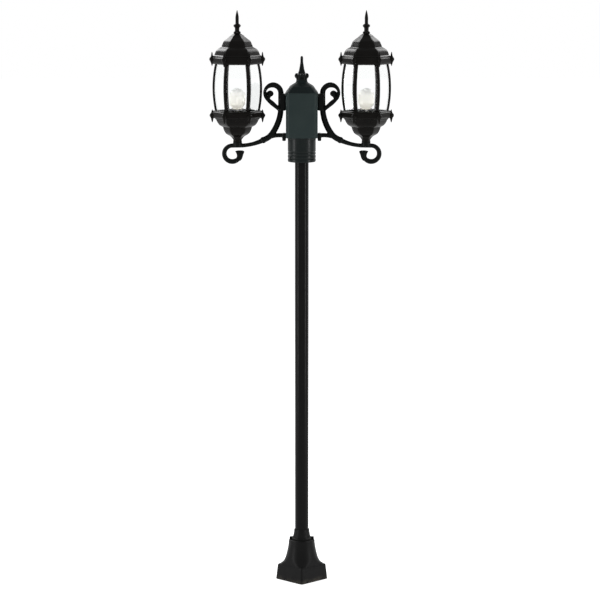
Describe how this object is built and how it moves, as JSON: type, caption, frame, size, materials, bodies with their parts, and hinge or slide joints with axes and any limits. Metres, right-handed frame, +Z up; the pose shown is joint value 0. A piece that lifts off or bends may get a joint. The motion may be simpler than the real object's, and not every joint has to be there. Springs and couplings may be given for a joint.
{
  "type": "double head lamp post",
  "caption": "Black garden lamp post: two hexagonal glass lanterns on scroll arms at a square hub, on a round pole with a square bell base.",
  "frame": {"origin": "on the ground under the pole's axis, in the middle of the base", "axes": "+Z up the pole, +X along the arms towards the right lantern, -Y to the front"},
  "size_m": [0.677, 0.1932, 2.1368],
  "materials": {
    "base_black": "satin black paint",
    "pole_black": "satin black paint",
    "hub_black": "satin black paint with a green cast",
    "arm_black": "satin black paint with a green cast",
    "lantern_black": "satin black paint",
    "lantern_sheet": "satin black paint",
    "clear_glass": "clear bent glass",
    "bulb_glass": "frosted warm white",
    "bulb_cap": "plain screw cap",
    "white_plastic": "semi gloss",
    "grey_plastic": "matte",
    "cable_jacket": "matte jacket",
    "brass": "plain",
    "dark_steel": "blackened",
    "zinc_steel": "zinc plated"
  },
  "bodies": {
    "post": {"base_plate": "base_black", "pole": "pole_black", "pole_bolts": "zinc_steel", "supply_cable": "cable_jacket", "feed_connector": "grey_plastic"},
    "base_cover": {"base_cover": "base_black", "cover_set_screws": "dark_steel"},
    "head": {"fitter_collar": "hub_black", "collar_screws": "dark_steel", "hub_housing": "hub_black", "housing_screws": "zinc_steel", "hub_cap": "hub_black", "cap_screws": "dark_steel", "hub_finial": "hub_black", "terminal_block": "white_plastic", "left_arm": "arm_black", "left_arm_bolts": "zinc_steel", "left_lead": "cable_jacket", "left_bowl": "lantern_black", "left_nipple": "brass", "left_locknut": "brass", "left_lower_rim": "lantern_black", "left_rim_screws": "dark_steel", "left_tray": "lantern_sheet", "left_cage_bars": "lantern_black", "left_panes": "clear_glass", "left_upper_rim": "lantern_black", "left_roof_strap": "lantern_sheet", "left_roof_stud": "zinc_steel", "left_strap_screws": "dark_steel", "left_socket": "white_plastic", "left_socket_cup": "lantern_sheet", "right_arm": "arm_black", "right_arm_bolts": "zinc_steel", "right_lead": "cable_jacket", "right_bowl": "lantern_black", "right_nipple": "brass", "right_locknut": "brass", "right_lower_rim": "lantern_black", "right_rim_screws": "dark_steel", "right_tray": "lantern_sheet", "right_cage_bars": "lantern_black", "right_panes": "clear_glass", "right_upper_rim": "lantern_black", "right_roof_strap": "lantern_sheet", "right_roof_stud": "zinc_steel", "right_strap_screws": "dark_steel", "right_socket": "white_plastic", "right_socket_cup": "lantern_sheet"},
    "left_roof": {"left_roof": "lantern_black", "left_crown": "lantern_black"},
    "left_finial": {"left_finial": "lantern_black"},
    "left_bulb": {"left_bulb": "bulb_glass", "left_bulb_base": "bulb_cap"},
    "right_roof": {"right_roof": "lantern_black", "right_crown": "lantern_black"},
    "right_finial": {"right_finial": "lantern_black"},
    "right_bulb": {"right_bulb": "bulb_glass", "right_bulb_base": "bulb_cap"}
  },
  "joints": [
    {"name": "cover_lift", "type": "slide", "parent": "post", "child": "base_cover", "axis": [0, 0, 1], "range_m": [0, 0.3]},
    {"name": "head_swivel", "type": "hinge", "parent": "post", "child": "head", "pos_m": [0, 0, 1.6], "axis": [0, 0, 1], "range_deg": [-180, 180]},
    {"name": "left_roof_lift", "type": "slide", "parent": "head", "child": "left_roof", "axis": [0, 0, 1], "range_m": [0, 0.16]},
    {"name": "left_finial_turn", "type": "hinge", "parent": "left_roof", "child": "left_finial", "pos_m": [-0.237, 0, 2.07], "axis": [0, 0, 1], "continuous": true},
    {"name": "left_bulb_turn", "type": "hinge", "parent": "head", "child": "left_bulb", "pos_m": [-0.237, 0, 1.78], "axis": [0, 0, 1], "continuous": true},
    {"name": "right_roof_lift", "type": "slide", "parent": "head", "child": "right_roof", "axis": [0, 0, 1], "range_m": [0, 0.16]},
    {"name": "right_finial_turn", "type": "hinge", "parent": "right_roof", "child": "right_finial", "pos_m": [0.237, 0, 2.07], "axis": [0, 0, 1], "continuous": true},
    {"name": "right_bulb_turn", "type": "hinge", "parent": "head", "child": "right_bulb", "pos_m": [0.237, 0, 1.78], "axis": [0, 0, 1], "continuous": true}
  ]
}
